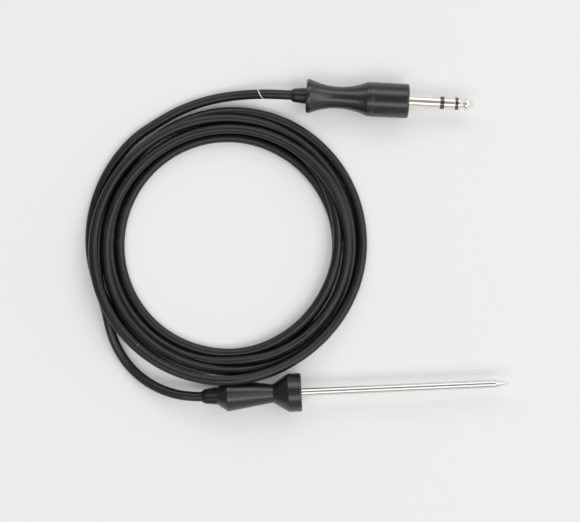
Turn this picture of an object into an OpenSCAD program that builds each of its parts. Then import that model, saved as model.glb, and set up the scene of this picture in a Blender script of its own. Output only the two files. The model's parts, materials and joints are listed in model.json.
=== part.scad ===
// Plug-in needle probe: a pointed steel needle in a moulded handle, about
// two metres of round cord lying in a loose coil, and a three-contact jack.
// The needle points along +X and the probe lies on the surface z = 0.

/* [Needle] */
// Outer diameter of the needle
needle_d = 4; // [3:0.1:5]
// Wall of the needle tube
needle_wall = 0.35; // [0.2:0.05:0.5]
// Needle length in front of the handle, with its point
needle_l = 100; // [80:1:150]
// Length of the ground point
point_l = 7; // [4:0.5:10]

/* [Handle] */
// Diameter of the front disc
disc_d = 18.6; // [17:0.1:22]
// Thickness of the front disc
disc_l = 6.3; // [4:0.1:8]
// Length of the cone between the neck and the disc
flare_l = 7.4; // [5:0.1:10]
// Diameter of the neck
neck_d = 8.9; // [8:0.1:10]
// Length of the tapered barrel
taper_l = 21.8; // [18:0.1:30]
// Largest diameter of the tapered barrel
taper_d = 15.5; // [13:0.1:17]
// Length of the chamfer at the cord end
chamfer_l = 4.8; // [3:0.1:6]
// Diameter of the handle's rear face
rear_d = 8.6; // [8.5:0.1:10]
// Length of the cord boot behind the handle
boot_l = 7.4; // [6:0.1:12]
// Bore of the handle behind the neck
handle_bore_d = 6; // [5.8:0.1:6.4]

/* [Cord] */
// Outer diameter of the cord
cord_d = 4.7; // [4.5:0.1:4.8]
// Middle of the coil, along the needle
coil_x = -59; // [-62:0.5:-55]
// Middle of the coil, across the needle
coil_y = 71.5; // [70:0.5:74]
// Inner radius of the coil
coil_in_r = 48.5; // [45:0.5:52]
// Outer radius of the coil
coil_out_r = 69.5; // [68:0.5:71]
// Height of the coil
coil_h = 14; // [9:0.5:16]

/* [Plug] */
// Place of the grip's rear face, along the needle
plug_x = -17.7; // [-19:0.1:-16]
// Place of the grip's rear face, across the needle
plug_y = 142; // [141:0.1:143]
// Angle of the plug to the needle, seen from above
plug_turn = 5.5; // [4:0.1:7]
// Largest diameter of the waisted grip
grip_d = 16.5; // [15:0.1:17]
// Length of the waisted grip
grip_l = 30.4; // [29:0.1:31]
// Diameter of the grip's waist
waist_d = 10.5; // [10.2:0.1:11]
// Distance of the waist from the grip's rear face
waist_at = 15.6; // [15:0.1:16]
// Diameter of the collar
collar_d = 16.6; // [15:0.1:17]
// Length of the collar
collar_l = 18.7; // [16:0.1:22]
// Diameter of the jack pin
jack_d = 6.35; // [6.3:0.01:6.4]
// Length of the sleeve contact in front of the collar
sleeve_l = 15; // [14:0.1:16]
// Length of the ring contact
ring_l = 5.2; // [4.5:0.1:6]
// Lead of the thread between grip and collar
thread_lead = 1; // [0.8:0.1:1.5]
// Turns of the thread
thread_turns = 5; // [4:1:5]

/* [Hidden] */
$fn = 48;

black = "#1b1b1c";
rubber = "#141414";
steel = "#c9ccd0";
nickel = "#d5d3cc";
cut = 0.5;
cord_r = cord_d / 2;

// Probe stations along X: the probe is centred on x = 0
probe_z = disc_d / 2;
handle_l = chamfer_l + taper_l + flare_l + disc_l;
tip_x = (needle_l + handle_l + boot_l) / 2;
disc_x = tip_x - needle_l;
flare_x = disc_x - disc_l;
neck_x = flare_x - flare_l;
taper_x = neck_x - taper_l;
rear_x = taper_x - chamfer_l;
tail_x = rear_x - boot_l;
point_x = tip_x - point_l;

// Inside the probe
tube_in_r = needle_d / 2 - needle_wall;
held_r = needle_d / 2 - 0.2;
held_in_r = held_r - needle_wall;
relief_r = needle_d / 2 + 0.2;
relief_l = 0.5;
bore_end_x = neck_x + 1;
anchor_l = 6;
tube_rear_x = bore_end_x - anchor_l - 1;
potting_l = 4;
wire_at_r = 1;
core_r = 0.6;
lead_r = 0.3;
crimp_r = 0.55;
splice_sleeve_r = 0.8;
splice_l = 5;
sleeve_over = 1;
splice_x = tube_rear_x - splice_l - 2;
jacket_end_x = splice_x - 3;
crimp_ring_l = 3.5;
spigot_l = 6;
sensor_r = 0.95;
sensor_l = 6;
sensor_x = point_x - sensor_l - 2;
weld_plug_l = 1.5;
filler_x = sensor_x - 3;

// Plug stations along its own axis, from the grip's rear face
plug_z = collar_d / 2;
seam = 0.2;
collar_at = grip_l + seam;
face_at = collar_at + collar_l;
sleeve_end = face_at + sleeve_l;
ring_gap_l = 2;
ring_at = sleeve_end + ring_gap_l;
ring_end = ring_at + ring_l;
tip_gap_l = 1.5;
tip_at = ring_end + tip_gap_l;
tip_collar_l = 1.1;
tip_neck_l = 2;
tip_ball_l = 4.9;
jack_end = tip_at + tip_collar_l + tip_neck_l + tip_ball_l;

// Inside the plug
cavity_r = 4;
grip_wall = 2;
thread_r = 5.2;
thread_fit = 0.05;
thread_l = thread_lead * thread_turns + 0.5;
collar_bore_r = 4.2;
bush_end = collar_at + 4;
sleeve_neck_r = 2.9;
boot_neck_r = 3.2;
boot_fit = 0.05;
boot_play = 0.1;
plug_boot_l = 7;
jacket_end = 16;
clamp_l = 3.5;
body_at = 36;
body_end = 45;
washer_t = 0.6;
spacer_t = 1;
rod_r = 1;
tip_liner_r = 1.5;
ring_tube_r = 2;
ring_liner_r = 2.5;
plug_core_at_r = 1.3;
solder_at = 21;
solder_l = 1.5;
tab_w = 1.6;
tab_t = 0.45;
sleeve_washer_at = body_at - washer_t;
spacer_a_at = sleeve_washer_at - spacer_t;
ring_washer_at = spacer_a_at - washer_t;
spacer_b_at = ring_washer_at - spacer_t;
tip_washer_at = spacer_b_at - washer_t;
rivet_at = tip_washer_at - washer_t;

// Where the cord leaves each boot and where it lies, chosen by hand
function on_plug_axis(s) = [plug_x + s * cos(plug_turn), plug_y - s * sin(plug_turn), plug_z];
plug_lead_route = concat(
    [for (s = [jacket_end, 8, 0, -7, -13]) on_plug_axis(s)],
    [[-35, 143.7, 8.1], [-40, 144, 7.1], [-47, 144.2, 5], [-56, 143.8, 3], [-65, 142.5, 2.5],
     [-74, 140, 2.4], [-83, 136.5, 2.35], [-91, 132, 2.35]]);
probe_lead_route = [[jacket_end_x, 0, probe_z], [-62, 0, probe_z], [-68, 0, probe_z], [-74, 0, probe_z],
    [-80, 0.2, 9.1], [-87, 1.5, 7.6], [-94, 4, 5.6], [-100, 7.4, 4], [-105.5, 11.8, 2.9],
    [-110, 17, 2.5], [-113.5, 23, 3], [-116, 29.5, 4.6], [-117.5, 36, 6.2], [-118, 42, 7]];
tube_sides = 10;

// Smooth curve through the points p, with one extra point in each span
function curve_at(p, i, t) =
    let (a = p[max(i - 1, 0)], b = p[i], c = p[i + 1], d = p[min(i + 2, len(p) - 1)])
    0.5 * (2 * b + (c - a) * t + (2 * a - 5 * b + 4 * c - d) * t * t
        + (3 * b - a - 3 * c + d) * t * t * t);
function smooth_route(p) = concat(
    [for (i = [0 : len(p) - 2]) for (t = [0, 0.5]) curve_at(p, i, t)],
    [p[len(p) - 1]]);
function unit(v) = v / norm(v);
function heading(p, i) = unit(p[min(i + 1, len(p) - 1)] - p[max(i - 1, 0)]);
function ring_points(p, i, r) =
    let (along = heading(p, i), side = unit(cross([0, 0, 1], along)), up = cross(along, side))
    [for (k = [0 : tube_sides - 1])
        p[i] + r * (cos(k * 360 / tube_sides) * side + sin(k * 360 / tube_sides) * up)];

// A round tube of radius r swept along the route p
module swept_tube(p, r) {
    last = len(p) - 1;
    points = [for (i = [0 : last]) each ring_points(p, i, r)];
    sides = [for (i = [0 : last - 1]) for (k = [0 : tube_sides - 1])
        let (next = (k + 1) % tube_sides, a = i * tube_sides, b = (i + 1) * tube_sides)
        [a + k, b + k, b + next, a + next]];
    first_cap = [for (k = [0 : tube_sides - 1]) k];
    last_cap = [for (k = [tube_sides - 1 : -1 : 0]) last * tube_sides + k];
    polyhedron(points, concat([first_cap], sides, [last_cap]));
}

// Placing along the probe's axis and along the plug's axis: local z runs along the axis
module on_probe() {
    translate([0, 0, probe_z]) rotate([0, 90, 0]) children();
}

module on_plug() {
    translate([plug_x, plug_y, plug_z]) rotate([0, 0, -plug_turn]) rotate([0, 90, 0]) children();
}

// Solid round bar and hollow round bar between two stations
module bar(r, from, to) {
    translate([0, 0, from]) cylinder(h = to - from, r = r);
}

module pipe(r_out, r_in, from, to) {
    difference() {
        bar(r_out, from, to);
        bar(r_in, from - cut, to + cut);
    }
}

// Three copies round the axis, one for each contact
module three_ways() {
    for (turn = [0, 120, 240]) rotate([0, 0, turn]) children();
}

// Probe
module needle_tube() {
    color(steel) on_probe() {
        pipe(needle_d / 2, tube_in_r, disc_x, point_x);
        pipe(held_r, held_in_r, tube_rear_x, disc_x + 1);
    }
}

module needle_point() {
    color(steel) on_probe() {
        translate([0, 0, point_x]) cylinder(h = point_l, r1 = needle_d / 2, r2 = 0.15);
        bar(tube_in_r, point_x - weld_plug_l, point_x);
    }
}

module sensor_element() {
    color("#e8e2d0") on_probe() bar(sensor_r, sensor_x, sensor_x + sensor_l);
}

module sensor_leads() {
    color("#b03028") on_probe() three_ways() translate([wire_at_r, 0, 0]) {
        bar(lead_r, splice_x + splice_l, filler_x + 2.5);
    }
}

module tip_filler() {
    color("#d8d4c8") on_probe() difference() {
        bar(tube_in_r, filler_x, point_x - weld_plug_l);
        bar(sensor_r, sensor_x, sensor_x + sensor_l);
        three_ways() translate([wire_at_r, 0, 0]) bar(lead_r, filler_x - cut, filler_x + 2.5);
    }
}

module tube_anchor() {
    color(steel) on_probe() {
        pipe(handle_bore_d / 2 - 0.4, held_r, bore_end_x - anchor_l, bore_end_x);
        pipe(handle_bore_d / 2, held_r, bore_end_x - 1.2, bore_end_x);
    }
}

module handle_potting() {
    color("#3a342c") on_probe() difference() {
        bar(handle_bore_d / 2, bore_end_x - potting_l, bore_end_x - 1.2);
        bar(handle_bore_d / 2 - 0.4, bore_end_x - potting_l - cut, bore_end_x);
    }
}

module probe_handle() {
    outline = [[0, rear_x], [rear_d / 2, rear_x], [taper_d / 2, taper_x], [neck_d / 2, neck_x],
        [disc_d / 2, flare_x], [disc_d / 2, disc_x - 0.4], [disc_d / 2 - 0.4, disc_x], [0, disc_x]];
    color(black) on_probe() difference() {
        rotate_extrude() polygon(outline);
        bar(handle_bore_d / 2, rear_x - cut, bore_end_x);
        bar(held_r, rear_x, disc_x + cut);
        bar(relief_r, disc_x - relief_l, disc_x + cut);
    }
}

module lead_splices() {
    color("#c8a25a") on_probe() three_ways() translate([wire_at_r, 0, 0]) {
        bar(crimp_r, splice_x, splice_x + splice_l);
    }
}

module splice_sleeves() {
    color("#2a2a2a") on_probe() three_ways() translate([wire_at_r, 0, 0]) difference() {
        bar(splice_sleeve_r, splice_x - sleeve_over, splice_x + splice_l + sleeve_over);
        bar(core_r, splice_x - sleeve_over - cut, splice_x);
        bar(crimp_r, splice_x - cut, splice_x + splice_l + sleeve_over + cut);
    }
}

module probe_cores() {
    color("#a84030") on_probe() three_ways() translate([wire_at_r, 0, 0]) {
        bar(core_r, jacket_end_x, splice_x);
    }
}

module probe_cord_crimp() {
    color("#c8a25a") on_probe() {
        pipe(handle_bore_d / 2 - 0.1, cord_r, jacket_end_x - crimp_ring_l, jacket_end_x);
    }
}

module probe_boot() {
    dome = 1.6;
    color(rubber) on_probe() difference() {
        union() {
            bar(handle_bore_d / 2, rear_x - cut, rear_x + spigot_l);
            translate([0, 0, tail_x + dome]) cylinder(h = boot_l - dome, r1 = 3.6, r2 = 4.15);
            translate([0, 0, tail_x]) cylinder(h = dome, r1 = 2.9, r2 = 3.6);
        }
        bar(cord_r, tail_x - cut, rear_x + spigot_l + cut);
    }
}

// Cord
module cord_probe_lead() {
    color(rubber) swept_tube(smooth_route(probe_lead_route), cord_r);
}

module cord_coil() {
    lane = coil_out_r - coil_in_r;
    handle_room = taper_d / 2 + 0.5;
    disc_room = disc_d / 2 + 0.5;
    color(rubber) difference() {
        translate([coil_x, coil_y, 0]) rotate_extrude($fn = 96) translate([coil_in_r, 0]) {
            translate([cord_r, 0]) square([lane - cord_d, coil_h]);
            translate([0, cord_r]) square([lane, coil_h - cord_d]);
            for (x = [cord_r, lane - cord_r]) for (y = [cord_r, coil_h - cord_r]) {
                translate([x, y]) circle(r = cord_r);
            }
        }
        translate([coil_x - coil_out_r, handle_room - coil_out_r, -cut]) {
            cube([2 * coil_out_r, coil_out_r, coil_h + 2 * cut]);
        }
        translate([neck_x, disc_room - coil_out_r, -cut]) {
            cube([2 * coil_out_r, coil_out_r, coil_h + 2 * cut]);
        }
    }
}

module cord_plug_lead() {
    color(rubber) swept_tube(smooth_route(plug_lead_route), cord_r);
}

// Plug, the pieces that turn and draw back with the grip
module plug_boot() {
    dome = 1.4;
    color(rubber) on_plug() difference() {
        union() {
            translate([0, 0, dome - plug_boot_l]) cylinder(h = plug_boot_l - dome - boot_play, r1 = 3.35, r2 = 3.9);
            translate([0, 0, -plug_boot_l]) cylinder(h = dome, r1 = 2.8, r2 = 3.35);
            bar(boot_neck_r, -cut, grip_wall + cut);
            bar(cavity_r - 0.3, grip_wall + boot_play, grip_wall + boot_play + 1.5);
        }
        bar(cord_r + 0.15, -plug_boot_l - cut, grip_wall + boot_play + 2);
    }
}

// Radius of the arc that hollows the grip from its full width to its waist
waist_half_l = 13.8;
waist_depth = (grip_d - waist_d) / 2;
waist_arc_r = (waist_half_l * waist_half_l + waist_depth * waist_depth) / (2 * waist_depth);

module plug_grip() {
    edge = 1;
    color(black) on_plug() difference() {
        rotate_extrude($fn = 96) difference() {
            union() {
                translate([0, edge]) square([grip_d / 2, grip_l - edge]);
                square([grip_d / 2 - edge, grip_l]);
                translate([grip_d / 2 - edge, edge]) circle(r = edge);
            }
            translate([waist_d / 2 + waist_arc_r, waist_at]) circle(r = waist_arc_r);
            translate([-2 * edge, -cut]) square([2 * edge, grip_l + 2 * cut]);
        }
        bar(boot_neck_r + boot_fit, -cut, grip_wall + cut);
        bar(cavity_r, grip_wall, grip_l);
        bar(thread_r + thread_fit, grip_l - thread_l, grip_l + cut);
    }
}

// Plug, the fixed pieces
module plug_collar() {
    edge = 0.9;
    groove = 0.15;
    groove_l = 0.3;
    color(black) on_plug() difference() {
        rotate_extrude($fn = 96) {
            translate([0, collar_at]) square([collar_d / 2, collar_l - edge]);
            translate([0, collar_at]) square([collar_d / 2 - edge, collar_l]);
            translate([collar_d / 2 - edge, face_at - edge]) circle(r = edge);
        }
        bar(thread_r, collar_at - cut, bush_end);
        bar(collar_bore_r, collar_at, body_end);
        bar(sleeve_neck_r, body_end - cut, face_at + cut);
        for (at = [0.6, 1.3, 2]) {
            pipe(collar_d, collar_d / 2 - groove, collar_at + at, collar_at + at + groove_l);
        }
    }
}

module thread_bush() {
    color(nickel) on_plug() pipe(thread_r, collar_bore_r, grip_l - thread_l + 0.1, bush_end);
}

module plug_cores() {
    color("#a84030") on_plug() three_ways() translate([plug_core_at_r, 0, 0]) {
        bar(core_r, jacket_end, solder_at);
    }
}

module solder_joints() {
    color("#b9bcc0") on_plug() {
        translate([2.15, 0, 0]) bar(0.8, solder_at, solder_at + solder_l);
        rotate([0, 0, 120]) translate([1.7, 0, 0]) bar(0.9, solder_at, solder_at + solder_l);
        rotate([0, 0, 240]) translate([1.4, 0, 0]) bar(0.8, solder_at, solder_at + solder_l);
    }
}

// Flat tab of a lug, at a distance r from the axis
module tab(r, from, to) {
    translate([r, -tab_w / 2, from]) cube([tab_t, tab_w, to - from]);
}

module sleeve_lug() {
    strip_at = 3;
    color("#c8a25a") on_plug() {
        pipe(strip_at + tab_t, cord_r, jacket_end - clamp_l, jacket_end);
        tab(strip_at, jacket_end - clamp_l / 2, body_at);
        difference() {
            bar(3.8, sleeve_washer_at, body_at);
            bar(ring_liner_r, sleeve_washer_at - cut, body_at + cut);
        }
    }
}

module ring_lug() {
    color("#c8a25a") on_plug() rotate([0, 0, 120]) {
        tab(2.35, solder_at + solder_l, ring_washer_at + washer_t);
        pipe(2.8, ring_tube_r, ring_washer_at, ring_washer_at + washer_t);
    }
}

module tip_lug() {
    color("#c8a25a") on_plug() rotate([0, 0, 240]) {
        tab(1.65, solder_at + solder_l, tip_washer_at + washer_t);
        pipe(2.1, rod_r, tip_washer_at, tip_washer_at + washer_t);
    }
}

module stack_washers() {
    color("#d9d2bc") on_plug() {
        pipe(2.85, ring_liner_r, spacer_a_at, sleeve_washer_at);
        pipe(2.2, tip_liner_r, spacer_b_at, ring_washer_at);
    }
}

module jack_sleeve() {
    color(nickel) on_plug() {
        pipe(jack_d / 2, ring_liner_r, face_at, sleeve_end);
        pipe(sleeve_neck_r, ring_liner_r, body_at, face_at + 1);
        pipe(collar_bore_r, sleeve_neck_r - 0.2, body_at, body_end);
    }
}

module ring_insulator() {
    color(black) on_plug() {
        pipe(ring_liner_r, ring_tube_r, spacer_a_at, ring_at);
        pipe(jack_d / 2 - 0.05, ring_tube_r, sleeve_end, ring_at);
    }
}

module jack_ring() {
    color(nickel) on_plug() {
        pipe(ring_tube_r, tip_liner_r, ring_washer_at, ring_end);
        pipe(jack_d / 2, tip_liner_r, ring_at, ring_end);
    }
}

module tip_insulator() {
    color(black) on_plug() {
        pipe(tip_liner_r, rod_r, spacer_b_at, tip_at);
        pipe(jack_d / 2 - 0.05, rod_r, ring_end, tip_at);
    }
}

module jack_tip() {
    neck_from = tip_at + tip_collar_l;
    ball_from = neck_from + tip_neck_l;
    collar_r = jack_d / 2 - 0.05;
    edge = 0.1;
    outline = [[0, tip_at], [collar_r - edge, tip_at], [collar_r, tip_at + edge],
        [collar_r, neck_from - edge], [collar_r - edge, neck_from],
        [2.4, neck_from], [2.1, neck_from + 0.6], [2.1, ball_from - 0.7], [2.6, ball_from],
        [3, ball_from + 0.5], [3.1, ball_from + 1], [3, ball_from + 1.6], [1.5, jack_end - 0.8],
        [0.9, jack_end - 0.2], [0.4, jack_end], [0, jack_end]];
    color(nickel) on_plug() {
        bar(rod_r, tip_washer_at, tip_at + cut);
        bar(1.6, rivet_at, tip_washer_at);
        rotate_extrude() polygon(outline);
    }
}

needle_tube();
needle_point();
tip_filler();
sensor_element();
sensor_leads();
tube_anchor();
handle_potting();
probe_handle();
lead_splices();
splice_sleeves();
probe_cores();
probe_cord_crimp();
probe_boot();
cord_probe_lead();
cord_coil();
cord_plug_lead();
plug_boot();
plug_grip();
plug_collar();
thread_bush();
plug_cores();
solder_joints();
sleeve_lug();
ring_lug();
tip_lug();
stack_washers();
jack_sleeve();
ring_insulator();
jack_ring();
tip_insulator();
jack_tip();
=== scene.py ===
"""Plug-in needle probe on a coiled cord: the visible pieces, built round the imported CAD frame.

Outlines and routes are in millimetres and turned into metres where a mesh is made.
The needle points along +X and the floor is z = 0.
"""
import json
import logging
import math
from dataclasses import dataclass
from enum import Enum
from typing import Optional, Sequence, Union

import bpy
import numpy as np
from mathutils import Matrix, Vector


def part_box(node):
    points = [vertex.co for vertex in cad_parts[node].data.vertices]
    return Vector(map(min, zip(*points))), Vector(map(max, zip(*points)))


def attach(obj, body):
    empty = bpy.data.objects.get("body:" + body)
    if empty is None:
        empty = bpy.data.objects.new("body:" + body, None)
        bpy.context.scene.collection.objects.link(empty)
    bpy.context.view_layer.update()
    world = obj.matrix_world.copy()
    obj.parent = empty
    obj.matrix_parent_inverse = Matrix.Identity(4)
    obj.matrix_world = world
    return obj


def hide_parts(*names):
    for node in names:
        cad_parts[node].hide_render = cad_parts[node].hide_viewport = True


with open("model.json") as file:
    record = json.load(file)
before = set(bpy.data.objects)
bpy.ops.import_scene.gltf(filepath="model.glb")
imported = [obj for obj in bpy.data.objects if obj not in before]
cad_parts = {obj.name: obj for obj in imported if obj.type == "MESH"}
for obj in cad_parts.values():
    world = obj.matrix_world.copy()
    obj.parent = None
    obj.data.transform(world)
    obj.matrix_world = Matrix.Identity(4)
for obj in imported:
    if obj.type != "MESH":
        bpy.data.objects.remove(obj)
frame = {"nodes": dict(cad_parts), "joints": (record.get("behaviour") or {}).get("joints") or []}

LOG = logging.getLogger("needle_probe")
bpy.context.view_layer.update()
MM = 0.001
Colour = tuple[float, float, float]
Point = tuple[float, float, float]
Material = bpy.types.Material
Node = bpy.types.Node
Piece = bpy.types.Object
Socket = bpy.types.NodeSocket
Tree = bpy.types.NodeTree
Value = Union[Socket, float, Sequence[float], str]


class Body(Enum):
    """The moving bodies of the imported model."""

    PROBE_AND_CORD = "probe_and_cord"
    BOOT = "boot"
    GRIP = "grip"


class Slot(Enum):
    """The material slots of the record."""

    STEEL = "needle_steel"
    CONTACT = "contact_metal"
    PLASTIC = "black_plastic"
    INSULATOR = "insulator"
    JACKET = "cord_jacket"
    RUBBER = "boot_rubber"
    BRASS = "lug_brass"
    SOLDER = "solder"
    CORES = "core_insulation"
    FILLER = "filler"
    CERAMIC = "sensor_ceramic"


class Layer(Enum):
    """How high a strand of the coil starts, counted in cords lying on each other."""

    FLOOR = 0.0
    LOW = 0.5
    SECOND = 1.0
    RISING = 1.5
    THIRD = 2.0
    TOP = 3.0


# Node trees


def put(name: str, data: bpy.types.ID) -> Piece:
    """Puts data in the scene as a new object.

    Args:
        name: the object's name.
        data: its mesh or curve.

    Returns:
        The object.
    """
    made = bpy.data.objects.new(name, data)
    bpy.context.scene.collection.objects.link(made)
    return made


class Graph:
    """A node tree wired by short calls."""

    def __init__(self, tree: Tree) -> None:
        """Wraps a tree."""
        self.tree = tree

    def add(self, kind: str, inputs: Optional[dict] = None, **settings: object) -> Node:
        """Adds a node.

        Args:
            kind: the node's type.
            inputs: a value or another node's socket for each input, by name or number.
            settings: the node's own properties, set first.

        Returns:
            The new node.
        """
        node = self.tree.nodes.new(kind)
        for key, value in settings.items():
            setattr(node, key, value)
        for key, value in (inputs or {}).items():
            if isinstance(value, Socket):
                self.tree.links.new(value, node.inputs[key])
            else:
                node.inputs[key].default_value = value
        return node

    def out(self, kind: str, inputs: Optional[dict] = None, **settings: object) -> Socket:
        """Adds a node as add does and returns its first output."""
        return self.add(kind, inputs, **settings).outputs[0]

    def calc(self, operation: str, *values: Value) -> Socket:
        """Returns the result of one Math node on the values."""
        return self.out("ShaderNodeMath", dict(enumerate(values)), operation=operation)

    def socket(self, name: str, side: str, kind: str, default: Optional[float] = None) -> None:
        """Adds one named input or output to the tree.

        Args:
            name: its name.
            side: INPUT or OUTPUT.
            kind: the type of its values.
            default: the value it starts with, if it has one.
        """
        made = self.tree.interface.new_socket(name, in_out=side, socket_type="NodeSocket" + kind)
        if default is not None:
            made.default_value = default

    def ramp(self, value: Value, low: float, high: float) -> Socket:
        """Returns 0 below low and 1 above high, with a soft ramp between them."""
        limits = {"Value": value, "From Min": low, "From Max": high}
        return self.out("ShaderNodeMapRange", limits, interpolation_type="SMOOTHSTEP")

    def noise(self, vector: Socket, scale: Value, detail: float = 2.0, rough: float = 0.5) -> Socket:
        """Returns a noise value at the vector."""
        return self.out("ShaderNodeTexNoise", {
            "Vector": vector, "Scale": scale, "Detail": detail, "Roughness": rough})

    def place(self) -> Socket:
        """Returns the Object coordinates."""
        return self.add("ShaderNodeTexCoord").outputs["Object"]

    def xyz(self, x: Value, y: Value, z: Value) -> Socket:
        """Returns the vector of three values."""
        return self.out("ShaderNodeCombineXYZ", {0: x, 1: y, 2: z})

    def parts(self, vector: Socket) -> Sequence[Socket]:
        """Returns the three values of a vector."""
        return self.add("ShaderNodeSeparateXYZ", {0: vector}).outputs

    def uv(self) -> Sequence[Socket]:
        """Returns the values of the piece's own UV map: round it and along it."""
        return self.parts(self.out("ShaderNodeUVMap", uv_map="UVMap"))


def shader_group(name: str, inputs: dict[str, float],
                 outputs: Sequence[str]) -> tuple[Graph, Sequence[Socket]]:
    """Starts a shader node group of plain values.

    Args:
        name: the group's name.
        inputs: the default of each named input.
        outputs: the names of the outputs.

    Returns:
        The group's graph and its inputs' sockets.
    """
    graph = Graph(bpy.data.node_groups.new(name, "ShaderNodeTree"))
    for key, default in inputs.items():
        graph.socket(key, "INPUT", "Float", default)
    for key in outputs:
        graph.socket(key, "OUTPUT", "Float")
    return graph, graph.add("NodeGroupInput").outputs


def grain_group() -> Tree:
    """Makes the fine skin of a moulding and its broad, faint patches.

    Returns:
        The group.
    """
    graph, given = shader_group(
        "fine_grain", {"Grain Scale": 4000.0, "Patch Scale": 90.0}, ["Height", "Patches"])
    place = graph.place()
    graph.add("NodeGroupOutput", {
        "Height": graph.noise(place, given["Grain Scale"], 3.0, 0.6),
        "Patches": graph.noise(place, given["Patch Scale"], 4.0)})
    return graph.tree


def dust_group() -> Tree:
    """Makes specks of dust: a few cells of a pattern hold one small speck each.

    Returns:
        The group.
    """
    graph, given = shader_group("dust_specks", {"Scale": 500.0, "Share": 0.1, "Size": 0.12}, ["Mask"])
    cells = graph.add("ShaderNodeTexVoronoi", {"Vector": graph.place(), "Scale": given["Scale"]}).outputs
    pick = graph.add("ShaderNodeSeparateColor", {"Color": cells["Color"]}).outputs
    chosen = graph.calc("LESS_THAN", pick[0], given["Share"])
    size = graph.calc("MULTIPLY", pick[1], given["Size"])
    speck = graph.calc("LESS_THAN", cells["Distance"], size)
    graph.add("NodeGroupOutput", {"Mask": graph.calc("MULTIPLY", chosen, speck)})
    return graph.tree


def wear_group() -> Tree:
    """Makes the polish that handling leaves on rounded edges, from the edge attribute.

    Returns:
        The group.
    """
    graph, given = shader_group("edge_wear", {"Scale": 700.0, "Strength": 1.0}, ["Mask"])
    edge = graph.add("ShaderNodeAttribute", attribute_name="edge").outputs["Fac"]
    broken = graph.ramp(graph.noise(graph.place(), given["Scale"]), 0.35, 0.7)
    rubbed = graph.calc("MULTIPLY", edge, broken)
    graph.add("NodeGroupOutput", {"Mask": graph.calc("MULTIPLY", rubbed, given["Strength"])})
    return graph.tree


def lines_group() -> Tree:
    """Makes fine lines round a turned piece, from its lengthwise UV.

    Returns:
        The group.
    """
    graph, given = shader_group("turned_lines", {"Pitch": 0.0001}, ["Height", "Shade"])
    turns = graph.calc("DIVIDE", graph.uv()[1], given["Pitch"])
    graph.add("NodeGroupOutput", {
        name: graph.out("ShaderNodeTexNoise", {"W": turns, "Scale": scale}, noise_dimensions="1D")
        for name, scale in (("Height", 1.0), ("Shade", 0.07))})
    return graph.tree


def flow_group() -> Tree:
    """Makes faint lengthwise lines on a pulled jacket, from its UV.

    Returns:
        The group.
    """
    graph, given = shader_group("jacket_flow", {"Round": 9.0, "Along": 14.0}, ["Height", "Shade"])
    calc, uv = graph.calc, graph.uv()
    turn = calc("MULTIPLY", uv[0], math.tau)
    side, up = (calc("MULTIPLY", calc(wave, turn), given["Round"]) for wave in ("COSINE", "SINE"))
    place = graph.xyz(side, up, calc("MULTIPLY", uv[1], given["Along"]))
    graph.add("NodeGroupOutput", {
        "Height": graph.noise(place, 1.0), "Shade": graph.noise(place, 0.35, 3.0)})
    return graph.tree


GROUP_MAKERS = {
    "fine_grain": grain_group,
    "dust_specks": dust_group,
    "edge_wear": wear_group,
    "turned_lines": lines_group,
    "jacket_flow": flow_group,
}


class Paint:
    """A material under construction: one Principled shader and the shared groups it uses."""

    def __init__(self, name: str, **plain: object) -> None:
        """Starts the material.

        Args:
            name: its name.
            **plain: the shader's plain values by socket name.
        """
        self.material = bpy.data.materials.new(name)
        self.material.use_nodes = True
        self.graph = Graph(self.material.node_tree)
        self.shader = self.material.node_tree.nodes["Principled BSDF"]
        for key, value in plain.items():
            self.shader.inputs[key.replace("_", " ")].default_value = value

    def group(self, name: str, **values: float) -> Sequence[Socket]:
        """Places a shared group, made on first use.

        Args:
            name: the group's name.
            **values: the group's own values by socket name.

        Returns:
            Its outputs.
        """
        tree = bpy.data.node_groups.get(name) or GROUP_MAKERS[name]()
        given = {key.replace("_", " "): value for key, value in values.items()}
        return self.graph.add("ShaderNodeGroup", given, node_tree=tree).outputs

    def mix(self, share: Socket, low: Union[Colour, Socket], high: Colour) -> Socket:
        """Mixes two colours.

        Args:
            share: how much of the second shows.
            low: the first colour.
            high: the second colour.

        Returns:
            The mixed colour.
        """
        first = low if isinstance(low, Socket) else (*low, 1.0)
        colours = {0: share, 6: first, 7: (*high, 1.0)}
        return self.graph.add("ShaderNodeMix", colours, data_type="RGBA").outputs[2]

    def feed(self, socket: str, value: Socket) -> None:
        """Links a value into one socket of the shader."""
        self.graph.tree.links.new(value, self.shader.inputs[socket])

    def bump(self, height: Socket, depth: float) -> None:
        """Feeds the shader's Normal from a height, depth in metres."""
        self.feed("Normal", self.graph.out("ShaderNodeBump", {"Height": height, "Distance": depth}))


# Finishes


@dataclass(frozen=True)
class BlackMoulding:
    """Black plastic or rubber: fine skin, faint patches, edges rubbed smooth, a little dust."""

    name: str
    colour: Colour
    rubbed: Colour
    roughness: float
    patchiness: float
    grain_scale: float
    grain_depth: float
    dust: float
    specular: float
    polish: float = 0.1
    dust_colour: Colour = (0.16, 0.16, 0.155)

    def material(self) -> Material:
        """Mixes the moulding from its skin, its wear and its dust.

        Returns:
            The material.
        """
        paint = Paint(self.name, Specular_IOR_Level=self.specular)
        calc = paint.graph.calc
        grain = paint.group("fine_grain", Grain_Scale=self.grain_scale, Patch_Scale=120.0)
        wear = paint.group("edge_wear", Scale=900.0, Strength=0.8)["Mask"]
        dust = paint.group("dust_specks", Scale=420.0, Share=self.dust, Size=0.16)["Mask"]
        worn = paint.mix(wear, self.colour, self.rubbed)
        paint.feed("Base Color", paint.mix(dust, worn, self.dust_colour))
        smoothest = self.roughness - self.patchiness / 2
        patch = calc("MULTIPLY_ADD", grain["Patches"], self.patchiness, smoothest)
        paint.feed("Roughness", calc("MULTIPLY_ADD", wear, -self.polish, patch))
        paint.bump(grain["Height"], self.grain_depth)
        return paint.material


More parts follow.
